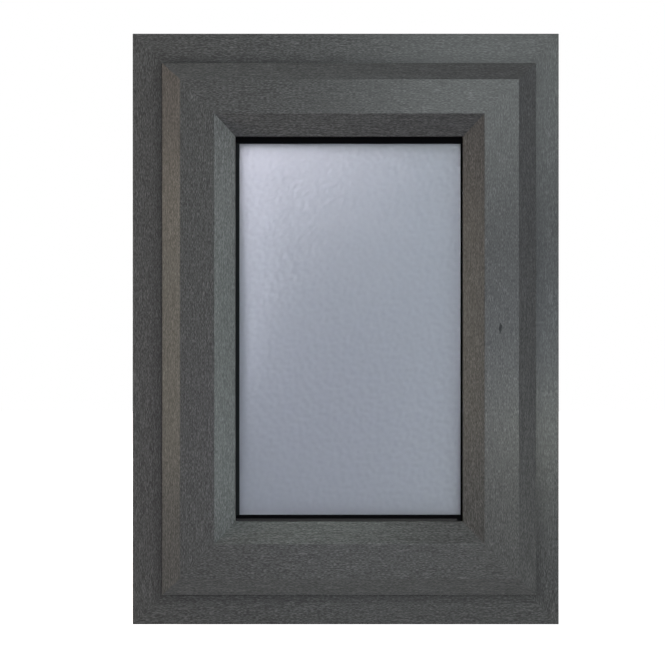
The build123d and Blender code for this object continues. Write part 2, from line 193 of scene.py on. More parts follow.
def strokes_along(tree, grain):
    """Dashes and hairlines along one axis, mixed into one value."""
    wavy = wandering(tree, *object_place(tree), WAVE_LENGTH, WAVE_SWAY)
    dash_size, hair_size = [DASH_ACROSS] * 3, [HAIR_ACROSS] * 3
    dash_size[grain], hair_size[grain] = DASH_ALONG, HAIR_ALONG
    dashes = noise_in(tree, *wavy, dash_size, SMOOTH)
    hairs = noise_in(tree, *wavy, hair_size, SMOOTH)
    mixed = add(tree, "ShaderNodeMix", {"Factor": HAIR_SHARE})
    link(tree, dashes, "Fac", mixed, "A")
    link(tree, hairs, "Fac", mixed, "B")
    return mixed


# %% [markdown]
# The foil stops where the frame will be hidden in the wall, and bare plastic shows there. Painting a map of
# that would do, but the frame's outer sides are flat planes, so sums on the coordinates find them: how far a
# point lies beyond an outline seen from the front. The same distance serves later for a painted shadow
# beside the sash.

# %% Sums on coordinates


def calculate(tree, source, out, operation, number):
    node = add(tree, "ShaderNodeMath", {1: number}, operation=operation)
    link(tree, source, out, node, 0)
    return node


def combine(tree, first, second, operation):
    node = add(tree, "ShaderNodeMath", operation=operation)
    link(tree, first, 0, node, 0)
    link(tree, second, 0, node, 1)
    return node


def distance_from(tree, axes, axis, middle):
    """How far a point is from a plane across one axis."""
    moved = calculate(tree, axes, axis, "SUBTRACT", middle)
    return calculate(tree, moved, 0, "ABSOLUTE", 0.0)


def beyond_outline(tree, axes, low, high):
    """How far a point lies outside a box as seen from the front, below zero inside it."""
    across = distance_from(tree, axes, 0, (low.x + high.x) / 2)
    across = calculate(tree, across, 0, "SUBTRACT", (high.x - low.x) / 2)
    upward = distance_from(tree, axes, 2, (low.z + high.z) / 2)
    upward = calculate(tree, upward, 0, "SUBTRACT", (high.z - low.z) / 2)
    return combine(tree, across, upward, "MAXIMUM")


# %% [markdown]
# The outer sides have shallow grooves, so everything within a few millimetres of the outline counts as
# outside. The foil is turned over the edges of the front and back faces, so the plastic starts behind that.

# %% Outer sides of the frame
GROOVE_DEPTH = 3.5 * MM
FOIL_TURNED_OVER = 7.0 * MM


def object_axes(tree):
    """Object coordinates taken apart into X, Y and Z, at outlets 0, 1 and 2."""
    axes = add(tree, "ShaderNodeSeparateXYZ")
    link(tree, *object_place(tree), axes, 0)
    return axes


def outer_sides(tree):
    """1 on the frame's outer sides, 0 elsewhere."""
    axes = object_axes(tree)
    beyond = beyond_outline(tree, axes, cad_low, cad_high)
    near_edge = calculate(tree, beyond, 0, "GREATER_THAN", -GROOVE_DEPTH)
    from_middle = distance_from(tree, axes, 1, 0.0)
    between_faces = calculate(tree, from_middle, 0, "LESS_THAN", -frame_front - FOIL_TURNED_OVER)
    return combine(tree, near_edge, between_faces, "MULTIPLY")


print("bare plastic starts", round(FOIL_TURNED_OVER / MM), "mm behind the frame's faces")

# %% [markdown]
# A noise becomes a colour through a ramp, and a gloss or a height through a change of range. Its values
# crowd around the middle, from about 0.3 to 0.7, so most of them start and end there. With the full range
# from 0 to 1, most of the pattern would be left unused.

# %% From noise to colours and values
NOISE_LOW, NOISE_HIGH = 0.3, 0.7


def ramp(tree, source, out, stops):
    """A colour ramp whose two stops are pairs of place and colour."""
    node = add(tree, "ShaderNodeValToRGB")
    for element, (place, colour) in zip(node.color_ramp.elements, stops):
        element.position = place
        element.color = colour
    link(tree, source, out, node, "Fac")
    return node


def remap(tree, source, out, low, high, to_low, to_high):
    limits = {"From Min": low, "From Max": high, "To Min": to_low, "To Max": to_high}
    node = add(tree, "ShaderNodeMapRange", limits)
    link(tree, source, out, node, "Value")
    return node


def uneven(tree, cells, low, high):
    """A value from low to high that follows the noise."""
    return remap(tree, cells, "Fac", NOISE_LOW, NOISE_HIGH, low, high)


# %% [markdown]
# A mask of 0 and 1 then mixes two finishes. The Mix node keeps its sockets for values and for colours under
# the same names, so the helper finds them by their identifiers.

# %% Helper for mixing two finishes


def blend(tree, factor, factor_out, first, first_out, second, second_out, colour=False):
    """Two values or colours mixed by a third, as a pair of node and outlet."""
    node = add(tree, "ShaderNodeMix", data_type="RGBA" if colour else "FLOAT")
    kind = "Color" if colour else "Float"
    into = {socket.identifier: socket for socket in node.inputs}
    tree.links.new(factor.outputs[factor_out], into["Factor_Float"])
    tree.links.new(first.outputs[first_out], into["A_" + kind])
    tree.links.new(second.outputs[second_out], into["B_" + kind])
    outlet = {socket.identifier: i for i, socket in enumerate(node.outputs)}
    return node, outlet["Result_" + kind]


# %% [markdown]
# A colour is easiest to read off a screen, as three numbers from 0 to 255. A shader wants the linear value
# instead, and given screen values it comes out far too pale, so one helper turns the first into the second.

# %% Colours


def linear(red, green, blue):
    values = []
    for channel in (red, green, blue):
        share = channel / 255
        values.append(share / 12.92 if share <= 0.04045 else ((share + 0.055) / 1.055) ** 2.4)
    return (*values, 1.0)


def shaded(colour, factor):
    """The same colour made darker or lighter by a factor."""
    return (*(min(1.0, channel * factor) for channel in colour[:3]), 1.0)


print("mid grey 128 is", round(linear(128, 128, 128)[0], 3), "in a shader")

# %% [markdown]
# The bare plastic is dyed right through and smooth, with faint lines along its length from the extruder's
# die. Very long noise cells give those lines. They change colour, gloss and height together.

# %% Bare plastic on the frame's outer sides
BARE_PLASTIC = linear(74, 75, 78)
BARE_ROUGHNESS = (0.42, 0.36)
BARE_RELIEF = (0.4, 0.6)
DIE_LINE, DIE_LENGTH = 1.6 * MM, 400 * MM
DIE_LOW, DIE_HIGH = 0.35, 0.65
DIE_SHADE = 0.93


def bare_outside(tree, grain, colour, rough, height):
    """Colour, roughness and height, with bare plastic instead on the frame's outer sides."""
    bare = outer_sides(tree)
    die_size = [DIE_LINE] * 3
    die_size[grain] = DIE_LENGTH
    lines = noise_in(tree, *object_place(tree), die_size)
    stops = [(DIE_LOW, shaded(BARE_PLASTIC, DIE_SHADE)), (DIE_HIGH, BARE_PLASTIC)]
    plastic = ramp(tree, lines, "Fac", stops)
    smooth = uneven(tree, lines, *BARE_ROUGHNESS)
    faint = remap(tree, lines, "Fac", 0.0, 1.0, *BARE_RELIEF)
    colour = blend(tree, bare, 0, *colour, plastic, "Color", colour=True)
    rough = blend(tree, bare, 0, *rough, smooth, "Result")
    height = blend(tree, bare, 0, *height, faint, "Result")
    return colour, rough, height


print("die lines about", round(DIE_LINE / MM, 1), "mm apart")

# %% [markdown]
# Now the strokes become a foil. One pattern drives colour, gloss and height at once, because an embossed
# foil is darker and duller in its hollows. The relief is only a fraction of a millimetre, too fine to be
# worth geometry, so it is a bump. A bar may pass in a mark, which changes colour and gloss on part of it.

# %% Foil
FOIL_DARK = linear(53, 53, 53)
FOIL_LIGHT = linear(109, 109, 109)
FOIL_GLOSS = 0.155
DARK_BELOW, LIGHT_ABOVE = 0.447, 0.745
HOLLOW_BELOW, RAISED_ABOVE = 0.38, 0.62
FOIL_ROUGHNESS = (0.32, 0.28)
EMBOSSING_STRENGTH, EMBOSSING_DEPTH = 0.3, 0.16 * MM


def new_material(name):
    material = bpy.data.materials.new(name)
    material.use_nodes = True
    tree = material.node_tree
    return material, tree, tree.nodes["Principled BSDF"]


def bump(tree, shader, source, out, strength, distance):
    node = add(tree, "ShaderNodeBump", {"Strength": strength, "Distance": distance})
    link(tree, source, out, node, "Height")
    link(tree, node, "Normal", shader, "Normal")


def set_sockets(shader, **values):
    for key, value in values.items():
        shader.inputs[key.replace("_", " ")].default_value = value


def foil(name, grain, bare_sides=False, mark=None):
    """grain is the axis the strokes run along, 0 for level bars and 2 for upright ones."""
    material, tree, shader = new_material(name)
    strokes = strokes_along(tree, grain)
    colour = ramp(tree, strokes, "Result", [(DARK_BELOW, FOIL_DARK), (LIGHT_ABOVE, FOIL_LIGHT)]), "Color"
    rough = remap(tree, strokes, "Result", HOLLOW_BELOW, RAISED_ABOVE, *FOIL_ROUGHNESS), "Result"
    height = strokes, "Result"
    if bare_sides:
        colour, rough, height = bare_outside(tree, grain, colour, rough, height)
    if mark is not None:
        colour, rough = mark(tree, colour, rough)
    link(tree, *colour, shader, "Base Color")
    link(tree, *rough, shader, "Roughness")
    bump(tree, shader, *height, EMBOSSING_STRENGTH, EMBOSSING_DEPTH)
    set_sockets(shader, Specular_IOR_Level=FOIL_GLOSS)
    return material


print("the foil goes from", round(FOIL_DARK[0], 3), "to", round(FOIL_LIGHT[0], 3))

# %% [markdown]
# Beside the sash, the frame's foil is painted darker: a painted contact shadow in the corner where the sash
# stands proud of the frame. It is darkest at the sash and fades outwards, so its mask is how far a point
# lies beyond the sash's outline, and it is kept to the weather face. Fine specks break the painted shade up.

# %% Painted shadow beside the sash
PAINTED_SHADE_REACH = 13 * MM
PAINTED_SHADE_SHARE = 0.5
PAINTED_SHADE_COLOUR = linear(22, 22, 23)
PAINTED_SHADE_GRIT = 1 * MM


def grit_in(tree, size):
    """Specks about size across, the same in every direction."""
    return noise_in(tree, *object_place(tree), (size, size, size))


def speckled(tree, cells, colour, lighter=1.3):
    """The colour, and a lighter one where the noise is high."""
    return ramp(tree, cells, "Fac", [(NOISE_LOW, colour), (NOISE_HIGH, shaded(colour, lighter))])


# Painted shade: the frame's foil is darkened beside the sash, in place of the contact shadow that falls
# where the sash stands proud of it.
def painted_shade_line(tree, colour, rough):
    axes = object_axes(tree)
    low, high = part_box("sash_left_stile")[0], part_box("sash_right_stile")[1]
    beyond = beyond_outline(tree, axes, low, high)
    fading = remap(tree, beyond, 0, 0.0, PAINTED_SHADE_REACH, PAINTED_SHADE_SHARE, 0.0)
    weather_side = calculate(tree, axes, 1, "LESS_THAN", frame_front + MM)
    mask = combine(tree, fading, weather_side, "MULTIPLY")
    painted_shade = speckled(tree, grit_in(tree, PAINTED_SHADE_GRIT), PAINTED_SHADE_COLOUR)
    return blend(tree, mask, 0, *colour, painted_shade, "Color", colour=True), rough


print("dirt reaches", round(PAINTED_SHADE_REACH / MM), "mm from the sash")

# %% [markdown]
# The bars are cut from long profiles, so the strokes follow the length of each bar. Level bars and upright
# ones need a foil each. The frame has its bare sides and the painted shadow beside the sash, the sash and
# the glazing beads don't.

# %% Foil on the bars
LEVEL, UPRIGHT = 0, 2
FRAME_LEVEL = ["frame_head", "frame_bottom_rail"]
FRAME_UPRIGHT = ["frame_left_jamb", "frame_right_jamb"]
SASH_LEVEL = ["sash_top_rail", "glazing_bead_top", "glazing_bead_bottom"]
SASH_UPRIGHT = ["sash_left_stile", "glazing_bead_left", "glazing_bead_right"]


def finish_nodes(names, material):
    for name in names:
        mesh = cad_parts[name].data
        mesh.materials.clear()
        mesh.materials.append(material)


finish_nodes(FRAME_LEVEL, foil("frame_foil_level", LEVEL, bare_sides=True, mark=painted_shade_line))
finish_nodes(FRAME_UPRIGHT, foil("frame_foil_upright", UPRIGHT, bare_sides=True, mark=painted_shade_line))
finish_nodes(SASH_LEVEL, foil("sash_foil_level", LEVEL))
finish_nodes(SASH_UPRIGHT, foil("sash_foil_upright", UPRIGHT))
print("foil on", len(FRAME_LEVEL + FRAME_UPRIGHT + SASH_LEVEL + SASH_UPRIGHT), "bars")

# %% [markdown]
# The right stile has one small mark, about as long as a fingernail is wide, where the foil is darker and
# duller. It is not a hollow cut into the bar but a mask in the material: how far a point is from the mark's
# middle, measured in mark lengths, with its edge broken up by noise.

# %% Dark mark on the right stile
MARK_MIDDLE = Vector((155.6, -54.0, 305.4)) * MM
MARK_REACH = (1.5 * MM, 4.0 * MM, 5.8 * MM)
MARK_GRIT = (0.8 * MM, 0.8 * MM, 2.0 * MM)
MARK_COLOUR = linear(26, 28, 30)
MARK_LIGHTER = 1.4
MARK_ROUGHNESS = (0.55, 0.65)
MARK_SHARE = 0.85
FULL_WITHIN, GONE_BEYOND = 0.75, 1.05
EDGE_BREAK = 0.45


def dark_mark(tree, colour, rough):
    place = object_place(tree)
    shape = {"Location": MARK_MIDDLE, "Scale": MARK_REACH}
    mapping = add(tree, "ShaderNodeMapping", shape, vector_type="TEXTURE")
    link(tree, *place, mapping, "Vector")
    reach = add(tree, "ShaderNodeVectorMath", operation="LENGTH")
    link(tree, mapping, "Vector", reach, 0)
    ragged = noise_in(tree, *place, MARK_GRIT)
    broken = add(tree, "ShaderNodeMath", operation="ADD")
    link(tree, reach, "Value", broken, 0)
    link(tree, uneven(tree, ragged, -EDGE_BREAK, EDGE_BREAK), "Result", broken, 1)
    mask = remap(tree, broken, 0, FULL_WITHIN, GONE_BEYOND, MARK_SHARE, 0.0)
    dark = speckled(tree, ragged, MARK_COLOUR, MARK_LIGHTER)
    dull = remap(tree, ragged, "Fac", 0.0, 1.0, *MARK_ROUGHNESS)
    colour = blend(tree, mask, "Result", *colour, dark, "Color", colour=True)
    return colour, blend(tree, mask, "Result", *rough, dull, "Result")


finish_nodes(["sash_right_stile"], foil("sash_foil_marked", UPRIGHT, mark=dark_mark))
print("scuff at", [round(v, 4) for v in MARK_MIDDLE])

# %% [markdown]
# The narrow ledge under the glass belongs to the bottom rail. It is painted as a plain dark strip with no
# grain: painted shade for the ledge, which lies in shadow in the recess under the glass. It is the only part
# of that rail within a few millimetres of its top, so a comparison of heights finds it.

# %% Painted shade on the ledge of the bottom rail
LEDGE_HEIGHT = 2.35 * MM
LEDGE_SHADE_COLOUR = linear(30, 29, 29)
LEDGE_ROUGHNESS = (0.5, 0.58)
LEDGE_GRIT = 1 * MM
ledge_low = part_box("sash_bottom_rail")[1].z - LEDGE_HEIGHT


# Painted shade: the ledge gets a plain dark colour in place of the grained foil, for the shadow it lies in
# under the glass.
def painted_shade_ledge(tree, colour, rough):
    mask = calculate(tree, object_axes(tree), 2, "GREATER_THAN", ledge_low)
    grit = grit_in(tree, LEDGE_GRIT)
    painted_strip = speckled(tree, grit, LEDGE_SHADE_COLOUR)
    colour = blend(tree, mask, 0, *colour, painted_strip, "Color", colour=True)
    return colour, blend(tree, mask, 0, *rough, uneven(tree, grit, *LEDGE_ROUGHNESS), "Result")


finish_nodes(["sash_bottom_rail"], foil("sash_foil_shaded_ledge", LEVEL, mark=painted_shade_ledge))
print("the ledge lies above", round(ledge_low, 4), "m")

# %% [markdown]
# ## Rubber and plastic
#
# Gaskets and weather seals are black synthetic rubber, nearly matt with a fine grit from the mould. The left
# outer gasket gets a lighter copy of that rubber, painted light for the light that falls on that side. The
# sealant around the glass is black too, and duller, and the spacer bars in front of it are rolled aluminium.
# One helper makes all of these and the moulded plastic, as they differ only in colour, gloss, the size of
# the grit, and in whether they are metal.

# %% Rubber, sealant, spacers and packers
ROUGHNESS_SPREAD = 0.04
GRIT_STRENGTH = 0.25


def gritty(name, colour, roughness, gloss, grit=1.1 * MM, relief=0.05 * MM, metal=0.0):
    material, tree, shader = new_material(name)
    speckle = grit_in(tree, grit)
    link(tree, speckled(tree, speckle, colour), "Color", shader, "Base Color")
    spread = uneven(tree, speckle, roughness - ROUGHNESS_SPREAD, roughness + ROUGHNESS_SPREAD)
    link(tree, spread, "Result", shader, "Roughness")
    bump(tree, shader, speckle, "Fac", GRIT_STRENGTH, relief)
    set_sockets(shader, Specular_IOR_Level=gloss, Metallic=metal)
    return material


RUBBER = gritty("black_rubber", linear(5, 5, 6), roughness=0.6, gloss=0.01)
# Painted light: the left outer gasket gets a lighter copy of the black rubber, for the light that falls on
# that side.
LIT_SIDE_RUBBER = gritty("lit_side_rubber", linear(14, 15, 16), roughness=0.65, gloss=0.03)
SEALANT = gritty("polysulphide_sealant", linear(16, 16, 17), roughness=0.75, gloss=0.2)
ROLLED_METAL = {"grit": 0.8 * MM, "relief": 0.01 * MM, "metal": 1.0}
ALUMINIUM = gritty("rolled_aluminium", linear(222, 224, 227), roughness=0.4, gloss=0.5, **ROLLED_METAL)
PACKERS = gritty("moulded_packers", linear(52, 54, 58), roughness=0.45, gloss=0.4)
GASKETS = [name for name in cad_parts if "gasket" in name or name.endswith("_seal")]
finish_nodes(GASKETS, RUBBER)
finish_nodes(["outer_gasket_left"], LIT_SIDE_RUBBER)
finish_nodes(["edge_sealant"], SEALANT)
finish_nodes(["outer_spacer_bar", "inner_spacer_bar"], ALUMINIUM)
finish_nodes(["glazing_packers"], PACKERS)
print("rubber on", len(GASKETS), "gaskets and seals")

# %% [markdown]
# ## Stippled glass
#
# The outer pane is rolled glass. The roller presses a stipple into it, small uneven hills about 4 mm wide,
# so light comes through and no image does. Bump alone would look right from straight on and flat from the
# side. So we lay a close grid where the pane's weather face is, and push each point back by noise, leaving
# the rim flat under its gaskets.

# %% Stipple
POINT_SPACING = 1.3 * MM
STIPPLE_SIZE = 4.3 * MM
STIPPLE_DEPTH = 0.44 * MM
STIPPLE_SLANT = math.radians(35)
STIPPLE_STRETCH = 0.8


def press_stipple(mesh):
    """Pushes the points back by noise that runs slantwise, and leaves the rim where it is."""
    slant = Matrix.Rotation(STIPPLE_SLANT, 3, "Y")
    for vertex in mesh.verts:
        if not vertex.is_boundary:
            place = slant @ vertex.co / STIPPLE_SIZE
            place.x *= STIPPLE_STRETCH
            vertex.co.y += STIPPLE_DEPTH * (0.5 + 0.5 * noise.noise(place))


print("hills up to", round(STIPPLE_DEPTH / MM, 2), "mm high")

# %% [markdown]
# The grid is a sheet with no thickness yet. A Solidify modifier would copy the stipple to the back, and
# rolled glass is flat there. So the rim is extruded backwards by the pane's thickness, and one face closes
# the back.

# %% Stippled pane


def object_from(mesh, name):
    """Turns a bmesh into an object of the scene."""
    data = bpy.data.meshes.new(name)
    mesh.to_mesh(data)
    mesh.free()
    piece = bpy.data.objects.new(name, data)
    bpy.context.scene.collection.objects.link(piece)
    return piece


def stippled_pane(node):
    low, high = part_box(node)
    width, height = high.x - low.x, high.z - low.z
    columns, rows = round(width / POINT_SPACING), round(height / POINT_SPACING)
    mesh = bmesh.new()
    bmesh.ops.create_grid(mesh, x_segments=columns, y_segments=rows, size=0.5)
    bmesh.ops.scale(mesh, vec=(width, height, 1), verts=mesh.verts)
    bmesh.ops.rotate(mesh, matrix=Matrix.Rotation(math.radians(90), 3, "X"), verts=mesh.verts)
    bmesh.ops.translate(mesh, vec=((low.x + high.x) / 2, low.y, (low.z + high.z) / 2), verts=mesh.verts)
    rim = [edge for edge in mesh.edges if edge.is_boundary]
    press_stipple(mesh)
    walls = bmesh.ops.extrude_edge_only(mesh, edges=rim)["geom"]
    far_edges = [part for part in walls if isinstance(part, bmesh.types.BMEdge) and part.is_boundary]
    far_points = [part for part in walls if isinstance(part, bmesh.types.BMVert)]
    bmesh.ops.translate(mesh, vec=(0, high.y - low.y, 0), verts=far_points)
    bmesh.ops.contextual_create(mesh, geom=far_edges)
    bmesh.ops.recalc_face_normals(mesh, faces=mesh.faces)
    return object_from(mesh, "rolled_outer_pane")


rolled_pane = stippled_pane("outer_pane")
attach(rolled_pane, "root")
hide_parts("outer_pane")
print("stippled pane has", len(rolled_pane.data.polygons), "faces")

# %% [markdown]
# Glass needs very little: it is clear, hard and shiny. The rolled pane is grey blue in its body and rough
# enough to blur what is behind it. The two panes behind it are clear float glass, faintly green. The
# mirror-like glare on their faces is held back, as in a picture taken through soft light.

# %% Glass
ROLLED_BODY, ROLLED_ROUGHNESS, ROLLED_CLOUDS = linear(145, 149, 162), 0.5, 0.04
FLOAT_BODY, FLOAT_ROUGHNESS, FLOAT_CLOUDS = linear(247, 251, 249), 0.02, 0.004
GLASS_IOR = 1.52
GLASS_GLARE = 0.25
CLOUD_SIZE = 4 * MM


def glass(name, body, roughness, cloudy):
    """cloudy is how far the body's colour goes up and down, as a share."""
    material, tree, shader = new_material(name)
    stops = [(NOISE_LOW, shaded(body, 1 - cloudy)), (NOISE_HIGH, shaded(body, 1 + cloudy))]
    link(tree, ramp(tree, grit_in(tree, CLOUD_SIZE), "Fac", stops), "Color", shader, "Base Color")
    set_sockets(shader, Roughness=roughness, IOR=GLASS_IOR, Transmission_Weight=1.0)
    set_sockets(shader, Specular_IOR_Level=GLASS_GLARE)
    return material


ROLLED_GLASS = glass("rolled_glass", ROLLED_BODY, ROLLED_ROUGHNESS, ROLLED_CLOUDS)
FLOAT_GLASS = glass("float_glass", FLOAT_BODY, FLOAT_ROUGHNESS, FLOAT_CLOUDS)
rolled_pane.data.materials.append(ROLLED_GLASS)
finish_nodes(["outer_pane"], ROLLED_GLASS)
finish_nodes(["middle_pane", "inner_pane"], FLOAT_GLASS)
print("glass:", ROLLED_GLASS.name, "and", FLOAT_GLASS.name)

# %% [markdown]
# ## Handle and hinges
#
# The handle on the room side is cast metal under a satin lacquer. The friction stays, the lock and its keeps
# are steel, plated with zinc, which leaves them duller and a little patchy. The rubber's helper makes them
# too, with metal turned on and finer or wider specks.

# %% Handle and steel parts
CAST_METAL = {"grit": 0.5 * MM, "relief": 0.01 * MM, "metal": 1.0}
PATCHY_METAL = {"grit": 3.0 * MM, "relief": 0.01 * MM, "metal": 1.0}
LACQUERED = gritty("satin_lacquered_metal", linear(176, 177, 180), roughness=0.34, gloss=0.5, **CAST_METAL)
PLATED = gritty("zinc_plated_steel", linear(150, 152, 154), roughness=0.42, gloss=0.5, **PATCHY_METAL)
BUTTON_PLASTIC = gritty("black_button", linear(40, 40, 42), roughness=0.5, gloss=0.5)
STEEL_PARTS = [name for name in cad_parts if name.startswith(("friction_stay", "lock_"))]
finish_nodes(["handle_base", "handle_lever", "handle_spindle"], LACQUERED)
finish_nodes(["handle_lock_button"], BUTTON_PLASTIC)
finish_nodes(STEEL_PARTS, PLATED)
print("plated steel:", ", ".join(sorted(STEEL_PARTS)))

# %% [markdown]
# The construction model has a plain disc where the handle locks. The real one is a push button with a sunk
# face, and in it the end of a small lock barrel with a slot for the key. Both start as a flat disc that is
# raised and has its rim rounded. A cylinder with a bevel would do as well, but a disc can first be cut to
# another outline, and the barrel needs that.

# %% Round pieces
ROUND_SEGMENTS = 48
RIM_SEGMENTS = 2
TOP_SLACK = MM / 100


def flat_disc(radius):
    mesh = bmesh.new()
    bmesh.ops.create_circle(mesh, cap_ends=True, segments=ROUND_SEGMENTS, radius=radius)
    return mesh


def rise_and_round(mesh, height, rounding):
    """Extrudes the flat faces of a mesh, rounds the rims of their tops and returns the tops."""
    grown = bmesh.ops.extrude_face_region(mesh, geom=mesh.faces[:], use_keep_orig=True)["geom"]
    points = [part for part in grown if isinstance(part, bmesh.types.BMVert)]
    tops = [part for part in grown if isinstance(part, bmesh.types.BMFace)]
    bmesh.ops.translate(mesh, vec=(0, 0, height), verts=points)
    rims = list({edge for face in tops for edge in face.edges})
    bmesh.ops.bevel(
        mesh, geom=rims, offset=rounding, segments=RIM_SEGMENTS, profile=0.5, affect="EDGES", material=-1
    )
    bmesh.ops.recalc_face_normals(mesh, faces=mesh.faces)
    return [face for face in mesh.faces if face.calc_center_median().z > height - TOP_SLACK]


print("round pieces have", ROUND_SEGMENTS, "sides")

# %% [markdown]
# The button's top is inset twice: once level, which leaves the rim, and once downwards, which sinks the
# face. The second inset is given a small width too, so that the wall of the sunk face leans a little. The
# piece is made lying down, then turned to face the room and set on the handle.

# %% Lock button
BUTTON_ROUNDING = 0.35 * MM
BUTTON_RIM = 0.9 * MM
BUTTON_SUNK = 0.7 * MM
SUNK_LEAN = MM / 20
TOWARDS_ROOM = Matrix.Rotation(math.radians(-90), 3, "X")


def set_on_handle(mesh, name, place, material):
    bmesh.ops.rotate(mesh, matrix=TOWARDS_ROOM, verts=mesh.verts)
    bmesh.ops.translate(mesh, vec=place, verts=mesh.verts)
    piece = object_from(mesh, name)
    piece.data.materials.append(material)
    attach(piece, "root")
    return piece


button_low, button_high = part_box("handle_lock_button")
button_middle = (button_low + button_high) / 2
button_radius = (button_high.x - button_low.x) / 2
button_mesh = flat_disc(button_radius)
button_top = rise_and_round(button_mesh, button_high.y - button_low.y, BUTTON_ROUNDING)
bmesh.ops.inset_region(button_mesh, faces=button_top, thickness=BUTTON_RIM)
bmesh.ops.inset_region(button_mesh, faces=button_top, thickness=SUNK_LEAN, depth=-BUTTON_SUNK)
button_place = (button_middle.x, button_low.y, button_middle.z)
lock_button = set_on_handle(button_mesh, "lock_button", button_place, BUTTON_PLASTIC)
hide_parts("handle_lock_button")
print("lock button, radius", round(button_radius / MM, 1), "mm")

# %% [markdown]
# The slot for the key could be cut with a boolean. A circle cut by a plane, copied and turned half round,
# gives two halves with a clean gap between them, and no boolean can fail on it.

# %% Lock barrel
BARREL_RADIUS = 2.7 * MM
BARREL_BELOW_RIM = 0.1 * MM
BARREL_ROUNDING = 0.12 * MM
KEY_SLOT = 0.8 * MM


def all_parts(mesh):
    return mesh.verts[:] + mesh.edges[:] + mesh.faces[:]


barrel_mesh = flat_disc(BARREL_RADIUS)
beside_slot = {"plane_co": (KEY_SLOT / 2, 0, 0), "plane_no": (1, 0, 0), "clear_inner": True}
bmesh.ops.bisect_plane(barrel_mesh, geom=all_parts(barrel_mesh), **beside_slot)
copied = bmesh.ops.duplicate(barrel_mesh, geom=all_parts(barrel_mesh))["geom"]
turned = [part for part in copied if isinstance(part, bmesh.types.BMVert)]
bmesh.ops.rotate(barrel_mesh, matrix=Matrix.Rotation(math.pi, 3, "Z"), verts=turned)
rise_and_round(barrel_mesh, BUTTON_SUNK - BARREL_BELOW_RIM, BARREL_ROUNDING)
barrel_place = (button_middle.x, button_high.y - BUTTON_SUNK, button_middle.z)
set_on_handle(barrel_mesh, "lock_barrel", barrel_place, PLATED)
print("lock barrel, radius", round(BARREL_RADIUS / MM, 1), "mm")

# %% [markdown]
# The two screws that hold the handle are hidden under pressed covers, one near each end of its base. Each is
# a low disc with a shallow dish in the middle, made with the same two insets as the button.

# %% Screw covers
COVER_RADIUS = 4.6 * MM
COVER_HEIGHT = 0.8 * MM
COVER_ROUNDING = 0.3 * MM
COVER_RIM = 1.2 * MM
DISH_SLOPE, DISH_DEPTH = 0.5 * MM, 0.25 * MM
COVER_SUNK = MM / 10
COVER_FROM_END = 11 * MM
base_low, base_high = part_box("handle_base")
covers = {
    "screw_cover_upper": base_high.z - COVER_FROM_END,
    "screw_cover_lower": base_low.z + COVER_FROM_END,
}
for cover_name, level in covers.items():
    cover_mesh = flat_disc(COVER_RADIUS)
    cover_top = rise_and_round(cover_mesh, COVER_HEIGHT, COVER_ROUNDING)
    bmesh.ops.inset_region(cover_mesh, faces=cover_top, thickness=COVER_RIM)
    bmesh.ops.inset_region(cover_mesh, faces=cover_top, thickness=DISH_SLOPE, depth=-DISH_DEPTH)
    cover_place = (button_middle.x, base_high.y - COVER_SUNK, level)
    set_on_handle(cover_mesh, cover_name, cover_place, LACQUERED)
print("screw covers at heights", [round(level, 3) for level in covers.values()])

# %% [markdown]
# ## Studio
#
# The picture has a plain white surround. Lighting a backdrop until it is white would wash out the window,
# so the white is given only to what the camera, a mirror or clear glass looks at, which Light Path tells
# apart. These helpers ask it, and choose between two shaders by the answer.

# %% Helpers for the surround


def larger(tree, first, first_out, second, second_out):
    node = add(tree, "ShaderNodeMath", operation="MAXIMUM")
    link(tree, first, first_out, node, 0)
    link(tree, second, second_out, node, 1)
    return node


def light_path(tree):
    """The Light Path node, and a node that is 1 for what a mirror or clear glass looks at."""
    path = add(tree, "ShaderNodeLightPath")
    return path, larger(tree, path, "Is Glossy Ray", path, "Is Transmission Ray")


def either_shader(tree, factor, first, second):
    node = add(tree, "ShaderNodeMixShader")
    link(tree, factor, 0, node, "Fac")
    link(tree, first, 0, node, 1)
    link(tree, second, 0, node, 2)
    return node


# %% [markdown]
# A mirror and clear glass see the floor as plain white. For the camera it keeps most of its white as a glow,
# and adds the light that falls on it, so the window still has a soft shadow.

# %% Floor
FLOOR_REACH = 2.2
FLOOR_GREY = 0.8
FLOOR_GLOW = 0.9
WHITE = (1.0, 1.0, 1.0, 1.0)


def floor_material():
    material, tree, _ = new_material("pale_floor")
    tree.nodes.clear()
    path, mirrored = light_path(tree)
    matt = add(tree, "ShaderNodeBsdfDiffuse", {"Color": (FLOOR_GREY, FLOOR_GREY, FLOOR_GREY, 1)})
    glow = add(tree, "ShaderNodeEmission", {"Color": WHITE})
    link(tree, calculate(tree, path, "Is Camera Ray", "MULTIPLY", FLOOR_GLOW), 0, glow, "Strength")
    lit = add(tree, "ShaderNodeAddShader")
    link(tree, matt, 0, lit, 0)
    link(tree, glow, 0, lit, 1)
    plain = add(tree, "ShaderNodeEmission", {"Color": WHITE})
    surface = either_shader(tree, mirrored, lit, plain)
    link(tree, surface, 0, add(tree, "ShaderNodeOutputMaterial"), "Surface")
    return material


floor_mesh = bmesh.new()
bmesh.ops.create_grid(floor_mesh, x_segments=1, y_segments=1, size=FLOOR_REACH)
floor = object_from(floor_mesh, "floor")
floor.data.materials.append(floor_material())
print("the floor is", 2 * FLOOR_REACH, "m wide")

# %% [markdown]
# The world is handled in the same way. It is white to look at, and nearly dark as a light, because an even
# light from all sides would flatten the bevels.

# %% World
WORLD_LEVEL = 0.05


